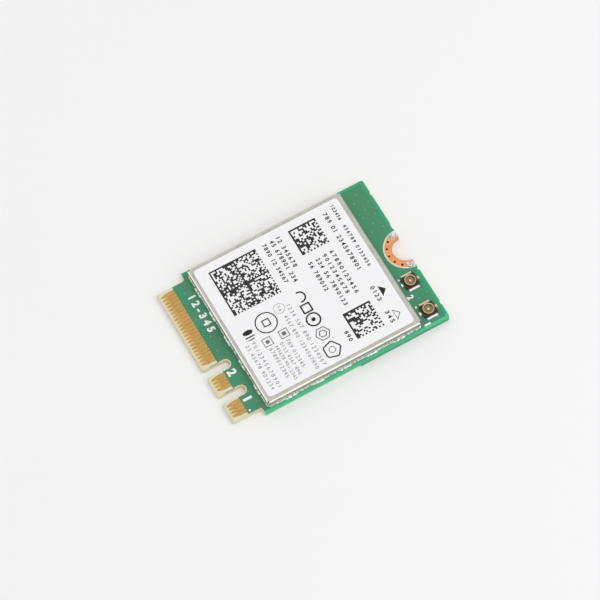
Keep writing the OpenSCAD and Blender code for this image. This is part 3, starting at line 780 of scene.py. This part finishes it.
def add_digits(text, x, y, z, size, boldness):
    """Plain digits as a thin slab in a box of the given size, spaced out to its width.

    A width of 0 leaves the digits as wide as they come at that height.
    """
    deselect_all()
    bpy.ops.object.text_add(location=(0, 0, 0))
    made = bpy.context.object
    made.data.body = text
    made.data.resolution_u = 3
    made.data.extrude = LOOSE_HEIGHT
    made.data.offset = boldness
    bpy.context.view_layer.update()
    proportion = made.dimensions.x / made.dimensions.y
    width, height, thickness = size
    if width:
        made.data.space_character = width / height / proportion
    else:
        width = height * proportion
    bpy.ops.object.convert(target="MESH")
    made = bpy.context.object
    fit_to(made, x, y, z, (width, height, thickness))
    return made


def add_polygon(corners, radius, place, thickness, stroke=0.0, turn=0.0, round_off=0.0, squash=1.0,
                gap=0.0):
    """A flat regular polygon or, with a stroke, its outline.

    The gap is the angle left open on the outline's +x side, before the turn.
    """
    deselect_all()
    bpy.ops.mesh.primitive_circle_add(vertices=corners, radius=radius * MM, fill_type="NGON")
    made = bpy.context.object
    edit_all()
    if round_off:
        bpy.ops.mesh.bevel(offset=round_off * MM, segments=5, affect="VERTICES")
        bpy.ops.mesh.select_all(action="SELECT")
    if stroke:
        bpy.ops.mesh.inset(thickness=stroke * MM)
        delete_faces()
    if gap:
        bpy.ops.object.mode_set(mode="OBJECT")
        pick_faces(made, lambda face: abs(math.atan2(face.center[1], face.center[0])) < gap / 2)
        delete_faces()
    thicken(thickness * MM)
    made.location = [value * MM for value in place]
    made.rotation_euler = (0, 0, turn)
    made.scale = (1, squash, 1)
    set_in_mesh()
    return made


def add_bar(width, length, place, thickness):
    """A flat bar with slightly rounded corners."""
    corner_share = 0.2
    corner = corner_share * min(width, length)
    deselect_all()
    bpy.ops.mesh.primitive_plane_add(size=1, location=(0, 0, 0))
    made = bpy.context.object
    made.scale = (width * MM, length * MM, 1)
    set_in_mesh()
    edit_all()
    bpy.ops.mesh.bevel(offset=corner * MM, segments=2, affect="VERTICES")
    bpy.ops.mesh.select_all(action="SELECT")
    thicken(thickness * MM)
    made.location = [value * MM for value in place]
    set_in_mesh()
    return made


def add_cell_pattern(low, high, cells, seed, z, thickness, quarters):
    """A square pattern of dark cells: two full borders, two dashed ones and a seeded random middle."""
    dark_share = 0.48
    light_between = 0.02 / cells
    deselect_all()
    bpy.ops.mesh.primitive_grid_add(x_subdivisions=cells, y_subdivisions=cells, size=2)
    made = bpy.context.object
    draw = random.Random(seed)
    dark = [[draw.random() < dark_share for _ in range(cells)] for _ in range(cells)]
    part = cells // 2 if quarters else cells

    def is_light(face):
        # The grid runs from -1 to 1 in x and in y
        column = int((face.center[0] + 1) / 2 * cells)
        row = int((face.center[1] + 1) / 2 * cells)
        if column % part == 0 or row % part == 0:
            return False
        if column % part == part - 1 or row % part == part - 1:
            return (column + row) % 2 == 1
        return not dark[column][row]

    pick_faces(made, is_light)
    delete_faces()
    bpy.ops.mesh.edge_split()
    bpy.ops.mesh.select_all(action="SELECT")
    bpy.ops.mesh.inset(thickness=light_between, use_individual=True)
    bpy.ops.mesh.select_all(action="INVERT")
    delete_faces()
    thicken(LOOSE_HEIGHT)
    width = high[0] - low[0]
    length = high[1] - low[1]
    fit_to(made, low[0] + width / 2, low[1] + length / 2, z, (width, length, thickness))
    return made


class CARD_OT_board_finish(bpy.types.Operator):
    """Finish the laminate, lacquer, contacts and copper ring"""

    bl_idname = "card.board_finish"
    bl_label = "Finish the Board"

    def execute(self, context):
        colours = context.scene.card_board
        dress(["circuit_board"], laminate_material(colours))
        dress(["solder_mask_top"], lacquer_material(colours, "green_lacquer_top", True))
        dress(["solder_mask_bottom"], lacquer_material(colours, "green_lacquer_bottom", False))
        gold = plated_material("contact_gold", colours.gold, roughness=0.3, streak=0.8)
        dress(["edge_contacts_top", "edge_contacts_bottom"], gold)
        dress(["mounting_pad", "mounting_pad_tinning"], ring_material(colours))
        return {"FINISHED"}


class CARD_OT_shield_finish(bpy.types.Operator):
    """Finish the shield can, its solder and its label"""

    bl_idname = "card.shield_finish"
    bl_label = "Finish the Shield Can"

    def execute(self, context):
        colours = context.scene.card_shield
        dress(["shield_lid", "shield_frame"], sheet_material(colours))
        dress(["shield_solder"], solder_material())
        dress(["label"], paper_material(colours))
        return {"FINISHED"}


class CARD_OT_socket_finish(bpy.types.Operator):
    """Finish the two antenna sockets"""

    bl_idname = "card.socket_finish"
    bl_label = "Finish the Antenna Sockets"

    def execute(self, context):
        colours = context.scene.card_shield
        for number in ("1", "2"):
            socket = "antenna_socket_" + number
            pin_low, pin_high = node_box(socket + "_pin")
            base_low, base_high = node_box(socket + "_base")
            centre_x = (pin_low[0] + pin_high[0]) / 2
            centre_y = (base_low[1] + base_high[1]) / 2
            dress([socket + "_shell"], socket_shell_material(colours, centre_x, centre_y))
            dress([socket + "_base"], socket_base_material(colours, centre_x, centre_y))
            dress([socket + "_pin"], pin_material(colours, centre_y))
        return {"FINISHED"}


class CARD_OT_inner_finish(bpy.types.Operator):
    """Finish the parts under the shield"""

    bl_idname = "card.inner_finish"
    bl_label = "Finish the Inner Parts"

    def execute(self, context):
        black = moulding_material("chip_moulding", context.scene.card_shield.moulding)
        dress(["wireless_chip", "front_end_module_1", "front_end_module_2"], black)
        dress(["memory_chip", "power_switch", "resistors"], black)
        ceramic = moulding_material("fired_ceramic", seen(184, 168, 140))
        dress(["diplexer_1", "diplexer_2", "band_filter_1", "band_filter_2"], ceramic)
        brown = moulding_material("brown_ceramic", seen(140, 107, 77))
        dress(["large_capacitors", "small_capacitors"], brown)
        core = moulding_material("grey_core", seen(102, 107, 115), grain_size=0.1)
        dress(["power_inductor_1", "power_inductor_2", "chip_inductors"], core)
        cover = plated_material("crystal_cover", seen(200, 200, 202), roughness=0.3, streak=0.5)
        dress(["crystal"], cover)
        return {"FINISHED"}


# Rows of print on the label: left end, right end and middle line of each row, its height, and the
# number of digits in each of its words. The places are from the board's middle and its contact edge.
DARK_ROWS = [
    (-9.13, -6.87, 24.6, 0.5, [6]),
    (-6.03, 0.5, 24.6, 0.52, [6, 7]),
    (-8.66, 0.21, 23.27, 0.64, [3, 2, 10]),
    (3.11, 5.29, 23.37, 0.6, [4]),
    (6.95, 8.68, 23.3, 0.6, [3]),
    (-3.73, 2.92, 21.47, 0.6, [11]),
    (-3.73, 2.4, 20.45, 0.6, [10]),
    (-3.65, 3.69, 19.45, 0.6, [3, 2, 7]),
    (-3.65, 0.82, 18.35, 0.6, [2, 6]),
    (6.79, 8.29, 17.6, 0.56, [3]),
    (-8.69, -4.02, 16.6, 0.62, [2, 6]),
    (-8.69, -2.21, 15.66, 0.62, [2, 6, 3]),
    (-8.69, -2.65, 14.58, 0.6, [4, 2, 5]),
]
FAINT_ROWS = [
    (0.1, 9.45, 13.2, 0.54, [4, 3, 3, 7]),
    (1.19, 9.45, 12.2, 0.5, [4, 3, 10]),
    (4.13, 8.35, 10.85, 0.52, [3, 6]),
    (4.13, 9.05, 9.97, 0.46, [4, 4, 3]),
    (4.18, 9.37, 9.24, 0.46, [6, 3, 4]),
    (4.18, 8.65, 8.48, 0.52, [10]),
    (2.35, 9.2, 7.0, 0.52, [13]),
    (2.4, 9.13, 6.13, 0.5, [2, 5, 6]),
    (-0.36, 0.36, 12.03, 0.36, [2]),
]

# Square patterns on the label: name, corners from the board's middle and its contact edge, cells on a
# side, seed, and whether it is made of four quarters with borders of their own
PATTERNS = [
    ("label_pattern_left", (-8.77, 18.08), (-4.9, 21.9), 16, 3, False),
    ("label_pattern_right", (4.61, 18.35), (8.48, 22.16), 16, 8, False),
    ("label_pattern_large", (-8.73, 6.74), (-1.87, 13.37), 32, 5, True),
]

# Plain shapes on the label: corners, radius, place from the board's middle and its contact edge, width
# of the line in parts of the full stroke, 0 for a filled shape, and what else add_polygon is told
DARK_SHAPES = [
    (3, 0.92, (4.2, 24.25), 0, {"squash": 0.56}),
    (3, 0.92, (7.92, 24.2), 0.5, {"squash": 0.56}),
    (48, 0.8, (-0.1, 14.97), 1, {"turn": -QUARTER_TURN, "gap": math.radians(150)}),
    (4, 0.96, (1.62, 14.97), 1, {"turn": EIGHTH_TURN, "round_off": 0.15}),
    (48, 0.98, (3.39, 14.97), 1, {}),
    (24, 0.28, (3.39, 14.97), 0, {}),
    (6, 1.0, (5.65, 15.02), 0.5, {}),
    (6, 0.55, (5.65, 15.02), 0.5, {}),
    (5, 1.3, (8.13, 14.97), 0.85, {"round_off": 0.3}),
    (32, 0.46, (8.13, 14.97), 0.4, {}),
    (48, 1.45, (0.85, 9.7), 0.75, {}),
    (4, 0.72, (0.85, 9.7), 0.75, {"turn": EIGHTH_TURN, "round_off": 0.1}),
    (24, 0.34, (0.9, 7.05), 0, {"squash": 2.0}),
]
FAINT_SHAPES = [
    (48, 0.72, (-0.02, 12.03), 0.25, {}),
    (4, 0.86, (3.22, 10.89), 0.5, {"turn": EIGHTH_TURN}),
    (4, 0.86, (3.22, 8.58), 0.5, {"turn": EIGHTH_TURN}),
    (4, 0.38, (3.22, 10.89), 0, {"turn": EIGHTH_TURN}),
    (24, 0.27, (3.22, 8.58), 0, {}),
]

# Two bars beside the ellipse on the label: width in parts of the full stroke, length and place
BARS = [
    (0.8, 1.3, (1.55, 7.05)),
    (0.6, 0.9, (1.95, 7.05)),
]

# White print on the lacquer: digits, the middle of their box from the board's middle and its contact
# edge, the box's width and height, and how much bolder the strokes are; then the places of the dots
BOARD_DIGITS = [
    ("2", (6.25, 27.1), (0, 0.85), 0.045),
    ("1", (10.5, 27.1), (0, 0.85), 0.08),
    ("12-345", (-4.85, 3.65), (5.5, 1.05), 0.045),
    ("2", (4.0, 3.05), (0, 1.2), 0.045),
    ("1", (8.05, 3.0), (0, 1.2), 0.07),
]
BOARD_DOTS = [(9.55, 2.5), (3.5, 27.0), (7.8, 27.0)]


def counted_words(lengths, first):
    """Words of plain digits that count on from the first one."""
    words = []
    digit = first
    for length in lengths:
        words.append("".join(str((digit + i) % 10) for i in range(length)))
        digit += length
    return " ".join(words)


def add_rows(rows, thickness, boldness):
    """Rows of plain digits on the label. Each row starts three digits on from the one before."""
    made = []
    for index, (left, right, y, height, lengths) in enumerate(rows):
        middle, row_y = card((left + right) / 2, y)
        text = counted_words(lengths, index * 3 + 1)
        size = (right - left, height, thickness)
        made.append(add_digits(text, middle, row_y, LABEL_TOP, size, boldness))
    return joined(made)


def add_shapes(shapes, thickness, full_stroke):
    made = []
    for corners, radius, place, part, more in shapes:
        on_label = (*card(*place), LABEL_TOP)
        made.append(add_polygon(corners, radius, on_label, thickness, full_stroke * part, **more))
    return made


class CARD_OT_label_rows(bpy.types.Operator):
    """Print the rows of plain digits on the label"""

    bl_idname = "card.label_rows"
    bl_label = "Print the Label's Rows"

    def execute(self, context):
        ink = context.scene.card_print
        thickness = ink.ink_thickness / MM
        dark = ink_material("dark_ink", ink.ink)
        faint = ink_material("faint_ink", ink.faint_ink)
        dark_rows = add_rows(DARK_ROWS, thickness, boldness=0.03)
        settle(dark_rows, "label_rows_dark", dark)
        faint_rows = add_rows(FAINT_ROWS, thickness, boldness=0.0)
        settle(faint_rows, "label_rows_faint", faint)
        return {"FINISHED"}


class CARD_OT_label_patterns(bpy.types.Operator):
    """Print the three square cell patterns on the label"""

    bl_idname = "card.label_patterns"
    bl_label = "Print the Label's Patterns"

    def execute(self, context):
        ink = context.scene.card_print
        thickness = ink.ink_thickness / MM
        dark = ink_material("pattern_ink", ink.ink)
        for name, low, high, cells, seed, quarters in PATTERNS:
            made = add_cell_pattern(card(*low), card(*high), cells, seed, LABEL_TOP, thickness, quarters)
            settle(made, name, dark)
        return {"FINISHED"}


class CARD_OT_label_shapes(bpy.types.Operator):
    """Print the plain shapes on the label"""

    bl_idname = "card.label_shapes"
    bl_label = "Print the Label's Shapes"

    def execute(self, context):
        ink = context.scene.card_print
        thickness = ink.ink_thickness / MM
        stroke = ink.stroke / MM
        made = add_shapes(DARK_SHAPES, thickness, stroke)
        for part, length, place in BARS:
            made.append(add_bar(stroke * part, length, (*card(*place), LABEL_TOP), thickness))
        dark = ink_material("shape_ink", ink.ink)
        settle(joined(made), "label_shapes_dark", dark)
        faint = ink_material("faint_shape_ink", ink.faint_ink)
        made = add_shapes(FAINT_SHAPES, thickness, stroke)
        settle(joined(made), "label_shapes_faint", faint)
        return {"FINISHED"}


class CARD_OT_board_print(bpy.types.Operator):
    """Print the white digits and dots on the lacquer"""

    bl_idname = "card.board_print"
    bl_label = "Print the Board"

    def execute(self, context):
        dot_corners = 24
        dot_radius = 0.14
        ink = context.scene.card_print
        thickness = ink.board_ink_thickness / MM
        made = []
        for digits, place, size, boldness in BOARD_DIGITS:
            made.append(add_digits(digits, *card(*place), MASK_TOP, (*size, thickness), boldness))
        for place in BOARD_DOTS:
            made.append(add_polygon(dot_corners, dot_radius, (*card(*place), MASK_TOP), thickness))
        white = ink_material("board_ink", ink.board_ink)
        settle(joined(made), "board_print", white)
        return {"FINISHED"}


class CARD_OT_stage(bpy.types.Operator):
    """Set up the floor, the lights and the camera"""

    bl_idname = "card.stage"
    bl_label = "Set Up the Stage"

    def execute(self, context):
        studio = context.scene.card_studio
        self.add_floor(studio)
        self.light_world(context.scene, studio.sky)
        self.add_lamp("key", place=(0.2, 0.2, 0.36), size=0.4, power=studio.key)
        self.add_lamp("side", place=(-0.25, -0.2, 0.25), size=0.3, power=studio.fill)
        self.add_camera(context.scene, studio)
        context.scene.view_settings.view_transform = "Standard"
        return {"FINISHED"}

    def add_floor(self, studio):
        """A plain floor, a hair below the underside so that the two faces stay apart."""
        below = 0.002 * MM
        cloud_tone = 0.02
        deselect_all()
        bpy.ops.mesh.primitive_plane_add(size=studio.floor_size, location=(0, 0, -below))
        floor = bpy.context.object
        floor.name = "floor"
        finish = Finish("pale_floor")
        tint = finish.shade(studio.floor, finish.noise(size=40.0) * cloud_tone)
        floor.data.materials.append(finish.surface(tint, roughness=0.8))

    def light_world(self, scene, strength):
        """Even light on the object, white to the camera, in reflections and behind glass."""
        world = bpy.data.worlds.new("studio")
        scene.world = world
        graph = Graph(world)
        white = (1, 1, 1, 1)
        rays = [graph.node("ShaderNodeLightPath", output="Is " + name + " Ray")
                for name in ("Camera", "Glossy", "Transmission")]
        even = graph.node("ShaderNodeBackground", {}, {"Color": white, "Strength": strength})
        full = graph.node("ShaderNodeBackground", {}, {"Color": white, "Strength": 1.0})
        mix = graph.node("ShaderNodeMixShader", {}, {"Fac": highest(rays), 1: even, 2: full})
        graph.node("ShaderNodeOutputWorld", {}, {"Surface": mix})

    def add_lamp(self, name, place, size, power):
        """A square lamp that faces the card, with its place and size in metres."""
        deselect_all()
        bpy.ops.object.light_add(type="AREA", location=place)
        lamp = bpy.context.object
        lamp.name = name
        lamp.data.size = size
        lamp.data.energy = power
        lamp.rotation_euler = (-Vector(place)).to_track_quat("-Z", "Y").to_euler()

    def add_camera(self, scene, studio):
        place = Vector(CAMERA_PLACE) * MM
        target = Vector(CAMERA_TARGET) * MM
        data = bpy.data.cameras.new("camera")
        camera = bpy.data.objects.new("camera", data)
        scene.collection.objects.link(camera)
        data.sensor_width = SENSOR
        data.lens = studio.focal_length / IMAGE_SIZE * SENSOR
        data.clip_start = 0.01
        data.clip_end = 10.0
        look = (target - place).to_track_quat("-Z", "Y").to_matrix().to_4x4()
        roll = Matrix.Rotation(studio.camera_roll, 4, "Z")
        camera.matrix_world = Matrix.Translation(place) @ look @ roll
        scene.camera = camera


# The steps in the order in which they run
STEPS = [
    CARD_OT_stage,
    CARD_OT_board_finish,
    CARD_OT_shield_finish,
    CARD_OT_socket_finish,
    CARD_OT_inner_finish,
    CARD_OT_label_rows,
    CARD_OT_label_patterns,
    CARD_OT_label_shapes,
    CARD_OT_board_print,
]


class VIEW3D_PT_wireless_card(bpy.types.Panel):
    """Lists the steps that dress the card"""

    bl_label = "Wireless Card"
    bl_space_type = "VIEW_3D"
    bl_region_type = "UI"
    bl_category = "Wireless Card"

    def draw(self, context):
        for step in STEPS:
            self.layout.operator(step.bl_idname)


GROUPS = {
    "card_board": BoardFinish,
    "card_shield": ShieldFinish,
    "card_print": PrintSettings,
    "card_studio": StudioSettings,
}


def register():
    for name, group in GROUPS.items():
        bpy.utils.register_class(group)
        setattr(bpy.types.Scene, name, bpy.props.PointerProperty(type=group))
    for step in STEPS:
        bpy.utils.register_class(step)
    bpy.utils.register_class(VIEW3D_PT_wireless_card)


def unregister():
    bpy.utils.unregister_class(VIEW3D_PT_wireless_card)
    for step in reversed(STEPS):
        bpy.utils.unregister_class(step)
    for name, group in reversed(GROUPS.items()):
        delattr(bpy.types.Scene, name)
        bpy.utils.unregister_class(group)


def main():
    register()
    for step in STEPS:
        group, name = step.bl_idname.split(".")
        getattr(getattr(bpy.ops, group), name)()


if __name__ == "__main__":
    main()
